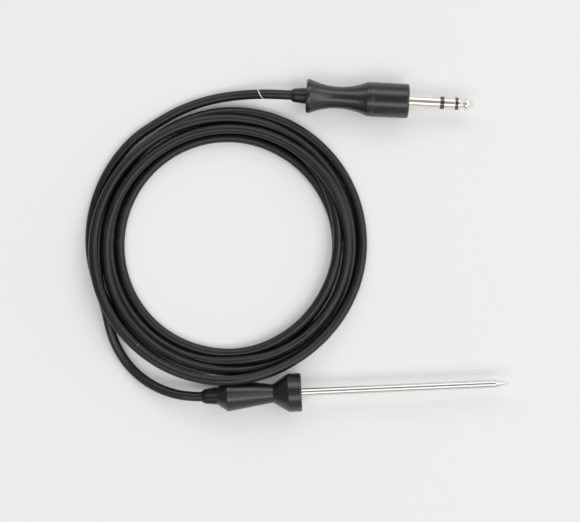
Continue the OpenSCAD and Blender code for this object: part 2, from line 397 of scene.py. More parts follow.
@dataclass(frozen=True)
class CordJacket:
    """Pulled black cord jacket: lengthwise flow lines, scuffs and specks of dust."""

    name: str
    colour: Colour
    scuffed: Colour
    roughness: float
    specular: float
    unevenness: float = 0.16
    scuff_dulling: float = 0.12
    grain_share: float = 0.35
    line_depth: float = 0.03 * MM
    dust_colour: Colour = (0.13, 0.13, 0.127)

    def material(self) -> Material:
        """Mixes the jacket from its flow lines, its grain and its dust.

        Returns:
            The material.
        """
        paint = Paint(self.name, Specular_IOR_Level=self.specular)
        calc, ramp = paint.graph.calc, paint.graph.ramp
        flow = paint.group("jacket_flow", Round=7.0, Along=30.0)
        grain = paint.group("fine_grain", Grain_Scale=2600.0, Patch_Scale=150.0)
        dust = paint.group("dust_specks", Scale=300.0, Share=0.1, Size=0.12)["Mask"]
        scuff = calc("MULTIPLY", ramp(grain["Patches"], 0.52, 0.72), ramp(flow["Shade"], 0.4, 0.7))
        tone = paint.mix(scuff, self.colour, self.scuffed)
        paint.feed("Base Color", paint.mix(dust, tone, self.dust_colour))
        smoothest = self.roughness - self.unevenness / 2
        lines = calc("MULTIPLY_ADD", flow["Shade"], self.unevenness, smoothest)
        paint.feed("Roughness", calc("MULTIPLY_ADD", scuff, self.scuff_dulling, lines))
        paint.bump(calc("MULTIPLY_ADD", grain["Height"], self.grain_share, flow["Height"]), self.line_depth)
        return paint.material


@dataclass(frozen=True)
class TurnedMetal:
    """Bright metal turned or ground round its axis, with faint handling marks."""

    name: str
    colour: Colour
    dulled: Colour
    roughness: float
    line_pitch: float
    line_depth: float = 0.0008 * MM
    unevenness: float = 0.1
    mark_dulling: float = 0.06

    def material(self) -> Material:
        """Mixes the metal from its turned lines and its marks.

        Returns:
            The material.
        """
        paint = Paint(self.name, Metallic=1.0)
        calc = paint.graph.calc
        lines = paint.group("turned_lines", Pitch=self.line_pitch)
        grain = paint.group("fine_grain", Grain_Scale=3000.0, Patch_Scale=160.0)
        marks = paint.graph.ramp(grain["Patches"], 0.5, 0.75)
        paint.feed("Base Color", paint.mix(marks, self.colour, self.dulled))
        smoothest = self.roughness - self.unevenness / 2
        rough = calc("MULTIPLY_ADD", lines["Shade"], self.unevenness, smoothest)
        paint.feed("Roughness", calc("MULTIPLY_ADD", marks, self.mark_dulling, rough))
        paint.bump(lines["Height"], self.line_depth)
        return paint.material


@dataclass(frozen=True)
class InnerFinish:
    """Finish of a piece inside the mouldings: one colour with soft patches and fine grain."""

    name: str
    colour: Colour
    shade: Colour
    roughness: float
    metallic: float = 0.0
    grain_depth: float = 0.01
    patchiness: float = 0.15

    def material(self) -> Material:
        """Mixes the finish from its two colours and its grain.

        Returns:
            The material.
        """
        paint = Paint(self.name, Metallic=self.metallic)
        grain = paint.group("fine_grain", Grain_Scale=2500.0, Patch_Scale=400.0)
        paint.feed("Base Color", paint.mix(grain["Patches"], self.colour, self.shade))
        paint.feed("Roughness", paint.graph.calc(
            "MULTIPLY_ADD", grain["Patches"], self.patchiness, self.roughness))
        paint.bump(grain["Height"], self.grain_depth * MM)
        return paint.material


PLASTIC = BlackMoulding("satin_black_plastic", (0.0062, 0.0062, 0.006), (0.02, 0.02, 0.0195),
                        0.29, 0.12, 3800.0, 0.012 * MM, 0.05, 0.5)
RUBBER = BlackMoulding("matt_black_rubber", (0.004, 0.004, 0.004), (0.01, 0.01, 0.01),
                       0.36, 0.1, 3000.0, 0.02 * MM, 0.05, 0.28)
RING_PLASTIC = BlackMoulding("smooth_black_insulator", (0.008, 0.008, 0.009), (0.03, 0.03, 0.03),
                             0.08, 0.04, 4000.0, 0.001 * MM, 0.02, 1.0)
JACKET = CordJacket("satin_black_jacket", (0.0054, 0.0054, 0.0052), (0.016, 0.016, 0.0154), 0.34, 0.34)
STEEL = TurnedMetal("ground_stainless_steel", (0.66, 0.635, 0.605), (0.6, 0.58, 0.55), 0.14, 0.06 * MM)
NICKEL = TurnedMetal("bright_nickel", (0.85, 0.8, 0.715), (0.74, 0.68, 0.59), 0.12, 0.09 * MM)
INK = InnerFinish("white_ink", (0.72, 0.72, 0.7), (0.6, 0.6, 0.58), 0.6)
INNER_FINISHES = {
    Slot.STEEL: InnerFinish("plain_steel", (0.55, 0.55, 0.56), (0.45, 0.45, 0.46), 0.3, 1.0),
    Slot.BRASS: InnerFinish("plain_brass", (0.72, 0.55, 0.28), (0.6, 0.43, 0.2), 0.28, 1.0),
    Slot.SOLDER: InnerFinish("dull_solder", (0.56, 0.57, 0.58), (0.4, 0.41, 0.42), 0.35, 1.0, 0.03),
    Slot.CORES: InnerFinish("core_insulation", (0.45, 0.05, 0.03), (0.36, 0.04, 0.03), 0.35),
    Slot.FILLER: InnerFinish("cast_resin", (0.5, 0.45, 0.36), (0.4, 0.35, 0.27), 0.5, 0.0, 0.03),
    Slot.CERAMIC: InnerFinish("unglazed_ceramic", (0.78, 0.75, 0.68), (0.68, 0.65, 0.58), 0.6, 0.0, 0.02),
    Slot.PLASTIC: InnerFinish("washer_plastic", (0.6, 0.56, 0.44), (0.52, 0.48, 0.38), 0.45),
}


# Turned forms

SHARP_FROM = math.radians(32)
CLOSE_WITHIN = 1e-6


@dataclass(frozen=True)
class Corner:
    """One corner of an outline: its place along the axis, its radius and its rounding, in mm."""

    at: float
    r: float
    rounding: float = 0.0
    flute: float = 0.0
    thread: float = 0.0


class Outline:
    """The closed half section of a turned piece, from the rear outwards and forwards, in mm."""

    ARC_STEP = math.radians(14)
    HOLD = 0.12
    HOLD_SHARE = 0.8
    LEAST_HOLD = 0.02

    def __init__(self, corners: Sequence[Corner], hollow: bool = False) -> None:
        """Rounds the corners.

        Args:
            corners: the corners in order.
            hollow: says that the outline closes on itself and not at the axis.
        """
        self.points: list[tuple[float, float]] = []
        self.marks: list[tuple[float, float, float]] = []
        last = len(corners) - 1
        for i, corner in enumerate(corners):
            ends = i in (0, last) and not hollow
            if ends or corner.rounding == 0:
                self._keep((corner.at, corner.r), 0.0, corner)
            else:
                self._round(corners[i - 1], corner, corners[(i + 1) % len(corners)])
        if hollow:
            self.points.append(self.points[0])
            self.marks.append(self.marks[0])

    def _keep(self, place: tuple[float, float], edge: float, corner: Corner) -> None:
        """Adds one point with its marks."""
        self.points.append(place)
        self.marks.append((edge, corner.flute, corner.thread))

    def _round(self, before: Corner, corner: Corner, after: Corner) -> None:
        """Adds the arc of one rounded corner, with a holding point on each side of it.

        Args:
            before: the corner before it.
            corner: the corner to round.
            after: the corner after it.
        """
        tip = Vector((corner.at, corner.r))
        into = (tip - Vector((before.at, before.r))).normalized()
        out = (Vector((after.at, after.r)) - tip).normalized()
        turn = into.angle_signed(out)
        back = corner.rounding * math.tan(abs(turn) / 2)
        start = tip - into * back
        inward = Vector((-into.y, into.x)) * (-1 if turn > 0 else 1)
        middle = start + inward * corner.rounding
        steps = max(2, math.ceil(abs(turn) / self.ARC_STEP))
        worn = 1.0 if turn > 0 else 0.0
        room_in = (tip - Vector((before.at, before.r))).length / 2 - back
        room_out = (Vector((after.at, after.r)) - tip).length / 2 - back
        if room_in > self.LEAST_HOLD:
            self._keep(tuple(start - into * min(self.HOLD, room_in * self.HOLD_SHARE)), 0.0, corner)
        for k in range(steps + 1):
            arm = (start - middle).copy()
            arm.rotate(Matrix.Rotation(-turn * k / steps, 2))
            edge = worn if 0 < k < steps else worn / 2
            self._keep(tuple(middle + arm), edge, corner)
        if room_out > self.LEAST_HOLD:
            held = back + min(self.HOLD, room_out * self.HOLD_SHARE)
            self._keep(tuple(tip + out * held), 0.0, corner)


def turned_tree() -> Tree:
    """Makes the Geometry Nodes tree that turns an outline about the X axis.

    Flutes run along the piece and a thread round it where the outline is marked for them.

    Returns:
        The tree.
    """
    graph = Graph(bpy.data.node_groups.new("turned_form", "GeometryNodeTree"))
    calc, out = graph.calc, graph.out
    for name, kind, default in (
            ("Outline", "Geometry", None), ("Segments", "Int", 96), ("Flutes", "Int", 8),
            ("Flute Depth", "Float", 0.0), ("Thread Lead", "Float", 0.001),
            ("Thread Depth", "Float", 0.0), ("Finish", "Material", None)):
        graph.socket(name, "INPUT", kind, default)
    graph.socket("Geometry", "OUTPUT", "Geometry")
    given = graph.add("NodeGroupInput").outputs
    size = graph.add("GeometryNodeAttributeDomainSize", {0: given["Outline"]}, component="MESH")
    rows = size.outputs["Point Count"]
    grid = out("GeometryNodeMeshGrid", {
        "Size X": 1.0, "Size Y": 1.0, "Vertices X": calc("ADD", given["Segments"], 1.0), "Vertices Y": rows})
    index = out("GeometryNodeInputIndex")
    column = calc("FLOOR", calc("DIVIDE", calc("ADD", index, 0.5), rows))
    row = calc("ROUND", calc("SUBTRACT", index, calc("MULTIPLY", column, rows)))
    turn = calc("DIVIDE", column, given["Segments"])

    def sampled(value: Socket, kind: str = "FLOAT") -> Socket:
        """Returns a value of the outline's point in the same row."""
        read = {"Geometry": given["Outline"], "Value": value, "Index": row}
        return out("GeometryNodeSampleIndex", read, data_type=kind, domain="POINT")

    def marked(name: str) -> Socket:
        """Returns one mark of the outline's point in the same row."""
        return sampled(out("GeometryNodeInputNamedAttribute", {"Name": name}, data_type="FLOAT"))

    place = graph.parts(sampled(out("GeometryNodeInputPosition"), "FLOAT_VECTOR"))
    angle = calc("MULTIPLY", turn, math.tau)
    wave = calc("MULTIPLY_ADD", calc("COSINE", calc("MULTIPLY", angle, given["Flutes"])), 0.5, -0.5)
    fluted = calc("MULTIPLY_ADD", calc("MULTIPLY", wave, marked("flute")), given["Flute Depth"], place[1])
    phase = calc("FRACT", calc("SUBTRACT", calc("DIVIDE", place[0], given["Thread Lead"]), turn))
    valley = calc("ABSOLUTE", calc("MULTIPLY_ADD", phase, 2.0, -1.0))
    cut = calc("MULTIPLY", calc("MULTIPLY", valley, marked("thread")), given["Thread Depth"])
    radius = calc("SUBTRACT", fluted, cut)
    across, up = (calc("MULTIPLY", radius, calc(name, angle)) for name in ("COSINE", "SINE"))
    spot = graph.xyz(place[0], across, up)
    mapped = out("GeometryNodeStoreNamedAttribute", {
        "Geometry": grid, "Name": "UVMap", "Value": graph.xyz(turn, place[0], 0.0)},
        data_type="FLOAT2", domain="CORNER")
    edged = out("GeometryNodeStoreNamedAttribute", {
        "Geometry": mapped, "Name": "edge", "Value": marked("edge")}, data_type="FLOAT", domain="POINT")
    shaped = out("GeometryNodeSetPosition", {"Geometry": edged, "Position": spot})
    closed = out("GeometryNodeMergeByDistance", {"Geometry": shaped, "Distance": CLOSE_WITHIN})
    gentle = out("FunctionNodeCompare", {0: out("GeometryNodeInputMeshEdgeAngle"), 1: SHARP_FROM},
                 data_type="FLOAT", operation="LESS_THAN")
    smooth = out("GeometryNodeSetShadeSmooth", {"Geometry": closed, "Shade Smooth": True})
    creased = out("GeometryNodeSetShadeSmooth", {"Geometry": smooth, "Shade Smooth": gentle}, domain="EDGE")
    whole = out("GeometryNodeRealizeInstances", {"Geometry": creased})
    dressed = out("GeometryNodeSetMaterial", {"Geometry": whole, "Material": given["Finish"]})
    graph.add("NodeGroupOutput", {"Geometry": dressed})
    return graph.tree


@dataclass(frozen=True)
class TurnedPiece:
    """A round piece: what is turned, where it rides and which CAD node it stands for."""

    name: str
    outline: Outline
    finish: Material
    slot: Slot
    node: str
    segments: int = 96
    body: Body = Body.PROBE_AND_CORD
    flutes: int = 8
    flute_depth: float = 0.0
    thread_lead: float = 1.0
    thread_depth: float = 0.0

    def build(self, placing: Matrix) -> Piece:
        """Args:
            placing: where the piece's own X axis lies in the row frame.

        Returns:
            The finished object.
        """
        lathe = self._lathe()
        bpy.context.view_layer.update()
        graph = bpy.context.evaluated_depsgraph_get()
        mesh = bpy.data.meshes.new_from_object(
            lathe.evaluated_get(graph), preserve_all_data_layers=True, depsgraph=graph)
        lathe.modifiers.clear()
        bpy.data.objects.remove(lathe)
        mesh.transform(placing)
        mesh.name = self.name
        piece = put(self.name, mesh)
        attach(piece, self.body.value)
        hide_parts(self.node)
        LOG.info("%s: %d faces", self.name, len(mesh.polygons))
        return piece

    def _lathe(self) -> Piece:
        """Puts the outline in the scene with the turning tree on it.

        Returns:
            The object.
        """
        mesh = bpy.data.meshes.new(self.name + "_outline")
        points = [(at * MM, r * MM, 0.0) for at, r in self.outline.points]
        mesh.from_pydata(points, [(i, i + 1) for i in range(len(points) - 1)], [])
        for column, mark in enumerate(("edge", "flute", "thread")):
            values = mesh.attributes.new(mark, "FLOAT", "POINT").data
            for value, marks in zip(values, self.outline.marks):
                value.value = marks[column]
        lathe = put(self.name + "_outline", mesh)
        tree = bpy.data.node_groups.get("turned_form") or turned_tree()
        sockets = {item.name: item.identifier for item in tree.interface.items_tree}
        modifier = lathe.modifiers.new("turned", "NODES")
        modifier.node_group = tree
        for name, value in (
                ("Segments", self.segments), ("Flutes", self.flutes), ("Flute Depth", self.flute_depth * MM),
                ("Thread Lead", self.thread_lead * MM), ("Thread Depth", self.thread_depth * MM),
                ("Finish", self.finish)):
            modifier[sockets[name]] = value
        return lathe


# Sub-assemblies


@dataclass
class Probe:
    """The needle, its handle and the boot behind it, all on one axis. Sizes in mm."""

    needle_r: float = 2.0
    held_r: float = 1.8
    wall: float = 0.35
    step_l: float = 1.0
    point_l: float = 7.0
    point_r: float = 0.15
    tube_rear: float = -45.85
    neck_r: float = 4.45
    barrel_r: float = 7.75
    rear_r: float = 4.3
    flare_l: float = 7.4
    disc_l: float = 6.3
    barrel_l: float = 21.8
    bore_r: float = 3.0
    bore_past_neck: float = 1.0
    relief_gap: float = 0.2
    relief_l: float = 0.5
    held_gap: float = 0.03
    cord_hole_r: float = 2.42
    boot_tip_r: float = 2.8
    boot_dome: float = 1.6
    boot_r: float = 4.15
    spigot_l: float = 6.0

    def __post_init__(self) -> None:
        """Reads the stations along the axis from the frame."""
        handle, point, boot = (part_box(n) for n in ("probe_handle", "needle_point", "probe_boot"))
        self.rear, self.disc = handle[0][0] / MM, handle[1][0] / MM
        self.disc_r = (handle[1][1] - handle[0][1]) / 2 / MM
        self.tip = point[1][0] / MM
        self.tail = boot[0][0] / MM
        self.placing = Matrix.Translation((0, 0, (handle[0][2] + handle[1][2]) / 2))

    def build(self, steel: Material, plastic: Material, rubber: Material) -> None:
        """Builds the four pieces.

        Args:
            steel: finish of the needle.
            plastic: finish of the handle.
            rubber: finish of the boot.
        """
        for piece in (
                TurnedPiece("needle_shaft", self._shaft(), steel, Slot.STEEL, "needle_tube", 72),
                TurnedPiece("needle_tip", self._tip(), steel, Slot.STEEL, "needle_point", 72),
                TurnedPiece("handle_moulding", self._handle(), plastic, Slot.PLASTIC, "probe_handle", 128),
                TurnedPiece("handle_boot", self._boot(), rubber, Slot.RUBBER, "probe_boot",
                            flutes=10, flute_depth=0.32)):
            piece.build(self.placing)

    def _shaft(self) -> Outline:
        """Draws the tube, hollow and thinner where the handle holds it.

        Returns:
            The outline.
        """
        front, inner, outer = self.tip - self.point_l, self.held_r - self.wall, self.needle_r - self.wall
        step = self.disc + self.step_l
        return Outline([
            Corner(self.tube_rear, inner), Corner(self.tube_rear, self.held_r),
            Corner(self.disc, self.held_r), Corner(self.disc, self.needle_r),
            Corner(front, self.needle_r), Corner(front, outer),
            Corner(step, outer), Corner(step, inner)], hollow=True)

    def _tip(self) -> Outline:
        """Draws the ground point with its fine rounded end.

        Returns:
            The outline.
        """
        front = self.tip - self.point_l
        return Outline([
            Corner(front, 0), Corner(front, self.needle_r - 0.02), Corner(front + 0.03, self.needle_r),
            Corner(self.tip - 0.12, self.point_r + 0.03, 0.1), Corner(self.tip, 0.02), Corner(self.tip, 0)])

    def _handle(self) -> Outline:
        """Draws the handle: chamfer, barrel, neck, flare and disc.

        Returns:
            The outline.
        """
        flare = self.disc - self.disc_l
        neck = flare - self.flare_l
        bore_end, bottom = neck + self.bore_past_neck, self.disc - self.relief_l
        relief_r, hole_r = self.needle_r + self.relief_gap, self.held_r + self.held_gap
        return Outline([
            Corner(self.rear, self.bore_r), Corner(self.rear, self.rear_r, 0.3),
            Corner(neck - self.barrel_l, self.barrel_r, 0.5), Corner(neck, self.neck_r, 0.35),
            Corner(flare, self.disc_r, 0.45), Corner(self.disc, self.disc_r, 0.7),
            Corner(self.disc, relief_r), Corner(bottom, relief_r), Corner(bottom, hole_r),
            Corner(bore_end, hole_r), Corner(bore_end, self.bore_r)], hollow=True)

    def _boot(self) -> Outline:
        """Draws the boot: domed tail, fluted cone and the spigot in the handle.

        Returns:
            The outline.
        """
        dome = self.tail + self.boot_dome
        spigot = self.rear + self.spigot_l
        return Outline([
            Corner(self.tail, self.cord_hole_r), Corner(self.tail, self.boot_tip_r, 0.25),
            Corner(dome, self.boot_r - 0.55, 0.6, flute=0.5),
            Corner(dome + 1.2, self.boot_r - 0.45, flute=1.0),
            Corner(self.rear - 0.5, self.boot_r - 0.03, flute=1.0), Corner(self.rear, self.boot_r, flute=0.4),
            Corner(self.rear, self.bore_r), Corner(spigot, self.bore_r), Corner(spigot, self.cord_hole_r)],
            hollow=True)


@dataclass
class Plug:
    """The jack plug: boot, waisted grip, collar and contacts, on one axis. Sizes in mm."""

    boot_tail: float = -7.0
    boot_dome: float = 1.4
    boot_tip_r: float = 2.8
    boot_r: float = 3.9
    boot_neck_r: float = 3.2
    cord_hole_r: float = 2.5
    grip_r: float = 8.25
    grip_l: float = 30.5
    waist_r: float = 5.25
    waist_at: float = 15.6
    waist_half_l: float = 13.8
    grip_wall: float = 2.0
    cavity_r: float = 4.0
    thread_from: float = 24.9
    thread_r: float = 5.2
    thread_lead: float = 1.0
    thread_depth: float = 0.4
    thread_row: float = 0.125
    thread_run_in: float = 0.5
    bush_end: float = 34.6
    collar_at: float = 30.6
    collar_face: float = 49.3
    collar_r: float = 8.3
    groove_depth: float = 0.035
    collar_bore_r: float = 4.2
    collar_bore_end: float = 45.0
    jack_r: float = 3.175
    ring_drop: float = 0.06
    contact_edge: float = 0.12
    sleeve_at: float = 36.0
    sleeve_end: float = 64.3
    ring_at: float = 66.3
    ring_end: float = 71.5
    tip_at: float = 73.0
    tip_end: float = 81.0

    def __post_init__(self) -> None:
        """Reads the plug's place and direction from the grip's joint in the frame."""
        joint = next(j for j in frame["joints"] if j["name"] == "grip_turn")
        along = -Vector(joint["axis"])
        turned = Matrix.Rotation(math.atan2(along.y, along.x), 4, "Z")
        self.placing = Matrix.Translation(joint["pos_m"]) @ turned

    def build(self, nickel: Material, plastic: Material, rubber: Material,
              ring_plastic: Material) -> list[Piece]:
        """Builds the nine pieces.

        Args:
            nickel: finish of the contacts.
            plastic: finish of the grip and the collar.
            rubber: finish of the boot.
            ring_plastic: finish of the insulating rings.

        Returns:
            The pieces, which all travel on the cord.
        """
        contact, ring = (nickel, Slot.CONTACT), (ring_plastic, Slot.INSULATOR)
        sleeve = self._band(self.sleeve_at, self.sleeve_end, 2.5)
        rear_ring = self._band(self.sleeve_end, self.ring_at, 2.0, insulator=True)
        ring_contact = self._band(self.ring_at, self.ring_end, 1.5)
        front_ring = self._band(self.ring_end, self.tip_at, 1.0, insulator=True)
        pieces = [
            TurnedPiece("plug_cord_boot", self._boot(), rubber, Slot.RUBBER, "plug_boot",
                        body=Body.BOOT, flutes=8, flute_depth=0.14),
            TurnedPiece("waisted_grip", self._grip(), plastic, Slot.PLASTIC, "plug_grip", 128, Body.GRIP),
            TurnedPiece("grooved_collar", self._collar(), plastic, Slot.PLASTIC, "plug_collar", 128),
            TurnedPiece("threaded_bush", self._bush(), *contact, "thread_bush",
                        thread_lead=self.thread_lead, thread_depth=self.thread_depth),
            TurnedPiece("sleeve_contact", sleeve, *contact, "jack_sleeve"),
            TurnedPiece("rear_ring", rear_ring, *ring, "ring_insulator"),
            TurnedPiece("ring_contact", ring_contact, *contact, "jack_ring"),
            TurnedPiece("front_ring", front_ring, *ring, "tip_insulator"),
            TurnedPiece("tip_contact", self._tip(), *contact, "jack_tip")]
        return [piece.build(self.placing) for piece in pieces]

    def _boot(self) -> Outline:
        """Draws the boot: domed tail, cone, neck through the grip and inner flange.

        Returns:
            The outline.
        """
        dome = self.boot_tail + self.boot_dome
        flange, flange_r = self.grip_wall + 0.1, 3.7
        return Outline([
            Corner(self.boot_tail, self.cord_hole_r), Corner(self.boot_tail, self.boot_tip_r, 0.2),
            Corner(dome, 3.35, 0.6, flute=0.5), Corner(dome + 1.0, 3.45, flute=1.0),
            Corner(-0.6, self.boot_r - 0.05, flute=1.0), Corner(-0.1, self.boot_r, 0.1, flute=0.4),
            Corner(-0.1, self.boot_neck_r), Corner(flange, self.boot_neck_r), Corner(flange, flange_r, 0.2),
            Corner(flange + 1.5, flange_r, 0.2), Corner(flange + 1.5, self.cord_hole_r)], hollow=True)

    def _waist(self, steps: int = 28) -> list[Corner]:
        """Draws the hollow arc of the grip, from rim to rim.

        Args:
            steps: how many straight steps it is cut into.

        Returns:
            The arc's corners.
        """
        depth = self.grip_r - self.waist_r
        radius = (self.waist_half_l ** 2 + depth ** 2) / (2 * depth)
        corners = []
        for k in range(1, steps):
            off = self.waist_half_l * (2 * k / steps - 1)
            sunk = radius - math.sqrt(radius ** 2 - off ** 2)
            corners.append(Corner(self.waist_at + off, self.waist_r + sunk))
        return corners

    def _grip(self) -> Outline:
        """Draws the grip: rounded rear rim, waist, front rim, cavity and thread bore.

        Returns:
            The outline.
        """
        fit, hole, bore = 0.06, self.boot_neck_r + 0.05, self.thread_from
        start, end = self.waist_at - self.waist_half_l, self.waist_at + self.waist_half_l
        return Outline([
            Corner(0, hole), Corner(0, self.grip_r, 1.0), Corner(start, self.grip_r, 1.2), *self._waist(),
            Corner(end, self.grip_r, 0.8), Corner(self.grip_l, self.grip_r, 0.08),
            Corner(self.grip_l, self.thread_r + fit), Corner(bore, self.thread_r + fit),
            Corner(bore, self.cavity_r), Corner(self.grip_wall, self.cavity_r),
            Corner(self.grip_wall, hole)], hollow=True)

    def _bush(self) -> Outline:
        """Draws the threaded bush, its points close enough to hold the ridge.

        Returns:
            The outline.
        """
        start = self.thread_from + 0.1
        first, last = start + 0.2, self.grip_l - 0.2
        count = round((last - first) / self.thread_row)
        rows = [first + (last - first) * k / count for k in range(count + 1)]
        run_in = self.thread_run_in
        thread = [Corner(at, self.thread_r, thread=min(1.0, (at - first) / run_in)) for at in rows]
        return Outline([
            Corner(start, self.collar_bore_r), Corner(start, self.thread_r - self.thread_depth), *thread,
            Corner(self.bush_end, self.thread_r), Corner(self.bush_end, self.collar_bore_r)], hollow=True)

    def _collar(self) -> Outline:
        """Draws the collar: seat of the bush, three turned grooves and rounded front.

        Returns:
            The outline.
        """
        grooves, bottom = [], self.collar_r - self.groove_depth
        for at in (0.6, 1.3, 2.0):
            at += self.collar_at
            grooves += [Corner(at, self.collar_r), Corner(at + 0.12, bottom),
                        Corner(at + 0.18, bottom), Corner(at + 0.3, self.collar_r)]
        hole, seat = self.jack_r + 0.02, self.thread_r + 0.01
        return Outline([
            Corner(self.collar_at, seat), Corner(self.collar_at, self.collar_r, 0.08), *grooves,
            Corner(self.collar_face, self.collar_r, 0.9), Corner(self.collar_face, hole),
            Corner(self.collar_bore_end, hole), Corner(self.collar_bore_end, self.collar_bore_r),
            Corner(self.bush_end, self.collar_bore_r), Corner(self.bush_end, seat)], hollow=True)

    def _band(self, start: float, end: float, bore: float, insulator: bool = False) -> Outline:
        """Returns the outline of a contact with broken edges, or of an insulating ring.

        Args:
            start: where it starts.
            end: where it ends.
            bore: its inner radius.
            insulator: makes it a plain ring, a hair lower than the contacts.

        Returns:
            The outline.
        """
        radius, edge = (self.jack_r - self.ring_drop, 0) if insulator else (self.jack_r, self.contact_edge)
        return Outline([Corner(start, bore), Corner(start, radius, edge),
                        Corner(end, radius, edge), Corner(end, bore)], hollow=True)

    def _tip(self) -> Outline:
        """Draws the tip contact: collar, neck and ball with its cone.

        Returns:
            The outline.
        """
        neck, ball = self.tip_at + 1.1, self.tip_at + 3.1
        return Outline([
            Corner(self.tip_at, 0), Corner(self.tip_at, 3.12, 0.12), Corner(neck, 3.12, 0.15),
            Corner(neck + 0.1, 2.3, 0.15), Corner(neck + 0.6, 2.1, 0.3), Corner(ball - 0.7, 2.1, 0.4),
            Corner(ball + 0.2, 2.95, 0.3), Corner(ball + 1.0, 3.1, 0.7), Corner(ball + 1.7, 2.95, 0.5),
            Corner(self.tip_end - 0.8, 1.5, 0.8), Corner(self.tip_end, 0.6, 0.3), Corner(self.tip_end, 0)])


# Cord


@dataclass(frozen=True)
class Stop:
    """Where the coil's strand is at one angle: degrees run on from turn to turn."""

    angle: float
    lane: float
    layer: Layer


@dataclass
class CoiledCord:
    """The one cord: out of the handle, round the coil and into the plug. Sizes in mm."""

    diameter: float = 4.7
    length: float = 2120.0
    centre: tuple[float, float] = (-59.0, 71.5)
    inner_lane: float = 52.6
    step: float = 5.0
    ring_step: float = 2.0
    sides: int = 20
    nesting: float = 0.92
    easing: int = 12
    last_easing: int = 10
    held: float = 20.0
    settle_rounds: int = 1500
    sinking: float = 0.015
    stiffness_up: float = 0.22
    stiffness_across: float = 0.2
    pull_back: float = 0.04
    least_apart: float = 1e-6
    push_across: float = 0.5
    tick_at: float = -38.9
    tick_half: tuple[float, float] = (1.6, 0.22)
    tick_wrap: float = 80.0
    handle_outline: tuple[tuple[float, float], ...] = (
        (-73.85, 4.1), (-66.45, 4.3), (-61.65, 7.75), (-39.85, 4.45), (-32.45, 9.3), (-26.15, 9.3))
    axis_z: float = 9.3
    route_in: tuple[Point, ...] = (
        (-55.85, 0, 9.3), (-62, 0, 9.3), (-68, 0, 9.3), (-74, 0, 9.3), (-80, 0.2, 9.1), (-87, 1.5, 7.6),
        (-94, 4, 5.6), (-100, 7.4, 4), (-105.5, 11.8, 2.9), (-110, 17, 2.5), (-113.5, 23, 3),
        (-116, 29.5, 4.6), (-117.5, 36, 6.2), (-118, 42, 7))
    route_out: tuple[Point, ...] = (
        (-35, 143.7, 8.1), (-40, 144, 7.1), (-47, 144.2, 5), (-56, 143.8, 3), (-65, 142.5, 2.5),
        (-74, 140, 2.4), (-83, 136.5, 2.35), (-91, 132, 2.35))
    plug_steps: tuple[float, ...] = (16, 8, 0, -7, -13)

    def stops(self) -> list[Stop]:
        """Lists the strand's lanes, each one cord wide, from the plug's end to the probe's.

        Returns:
            The stops.
        """
        floor, low, second, rising, third, top = Layer
        turns = (
            (120, 3.5, floor), (150, 3.25, floor), (180, 2.9, floor), (202, 2.4, floor), (240, 2.2, floor),
            (265, 1.8, floor), (283, 0.7, floor), (300, -0.3, floor), (330, 0, floor), (360, 0.25, floor),
            (420, 0.25, floor), (480, 0, floor), (540, 0, low), (600, 0, second), (690, -0.25, second),
            (720, 0.25, second),
            (750, 0.75, low), (780, 1, floor), (840, 1, floor), (900, 0.75, floor), (960, 0.75, low),
            (990, 0.6, low), (1010, 0.9, second), (1025, 1, low), (1050, 1.25, low), (1080, 1.25, second),
            (1140, 1, second), (1200, 0.75, second), (1230, 1, second), (1290, 1.5, second),
            (1320, 1.5, rising), (1350, 1.25, third), (1380, 2, floor), (1440, 1.75, floor),
            (1500, 2, low), (1560, 2, second),
            (1620, 2.5, second), (1650, 2.6, third), (1680, 2.6, third), (1710, 2.5, top),
            (1740, 2.25, second), (1770, 2.5, low), (1830, 3, floor), (1890, 2.75, floor), (1920, 2, floor),
            (1980, 2, floor), (2005, 2.75, second))
        return [Stop(*turn) for turn in turns]

    def _even(self, values: np.ndarray, rounds: int) -> np.ndarray:
        """Evens values out along the strand.

        Args:
            values: the values, one a point.
            rounds: how many times each is eased towards its neighbours.

        Returns:
            The eased values, with the ends kept.
        """
        for _ in range(rounds):
            values = values.copy()
            values[1:-1] = (values[:-2] + 2 * values[1:-1] + values[2:]) / 4
        return values

    def coil(self) -> np.ndarray:
        """Winds the coil in a loop, then lets it settle under its own weight.

        Strands that press into each other part, the floor and the handle hold them up, and the
        cord's stiffness evens them out.

        Returns:
            The strand's points from the plug's end to the probe's.
        """
        stops, half = self.stops(), self.diameter / 2
        angles = np.arange(stops[0].angle, stops[-1].angle + 1, self.step)
        knots = [s.angle for s in stops]
        lanes = [self.inner_lane + self.diameter * s.lane for s in stops]
        layers = [half + self.nesting * self.diameter * s.layer.value for s in stops]
        wanted = self._even(np.interp(angles, knots, lanes), self.easing)
        z = self._even(np.interp(angles, knots, layers), self.easing)
        r, turn = wanted.copy(), np.radians(angles)
        per_turn, end_z = round(360 / self.step), self.route_in[-1][2]
        for _ in range(self.settle_rounds):
            z -= self.sinking
            z[1:-1] += self.stiffness_up * (z[:-2] + z[2:] - 2 * z[1:-1])
            r[1:-1] += self.stiffness_across * (r[:-2] + r[2:] - 2 * r[1:-1])
            r += self.pull_back * (wanted - r)
            for lag in range(per_turn, len(angles), per_turn):
                across, up = r[lag:] - r[:-lag], z[lag:] - z[:-lag]
                apart = np.hypot(across, up) + self.least_apart
                press = np.clip(self.diameter - apart, 0, None) / apart / 2
                for values, push in ((z, press * up), (r, self.push_across * press * across)):
                    values[lag:] += push
                    values[:-lag] -= push
            z = np.maximum(np.maximum(z, half), self._over_handle(*self._spots(r, turn)))
            z[0], z[-1], r[0], r[-1] = half, end_z, wanted[0], wanted[-1]
        return np.stack([*self._spots(r, turn), z], axis=1)

    def _spots(self, r: np.ndarray, turn: np.ndarray) -> tuple[np.ndarray, np.ndarray]:
        """Returns x and y of points at radii and angles round the coil's middle."""
        return self.centre[0] + r * np.cos(turn), self.centre[1] + r * np.sin(turn)

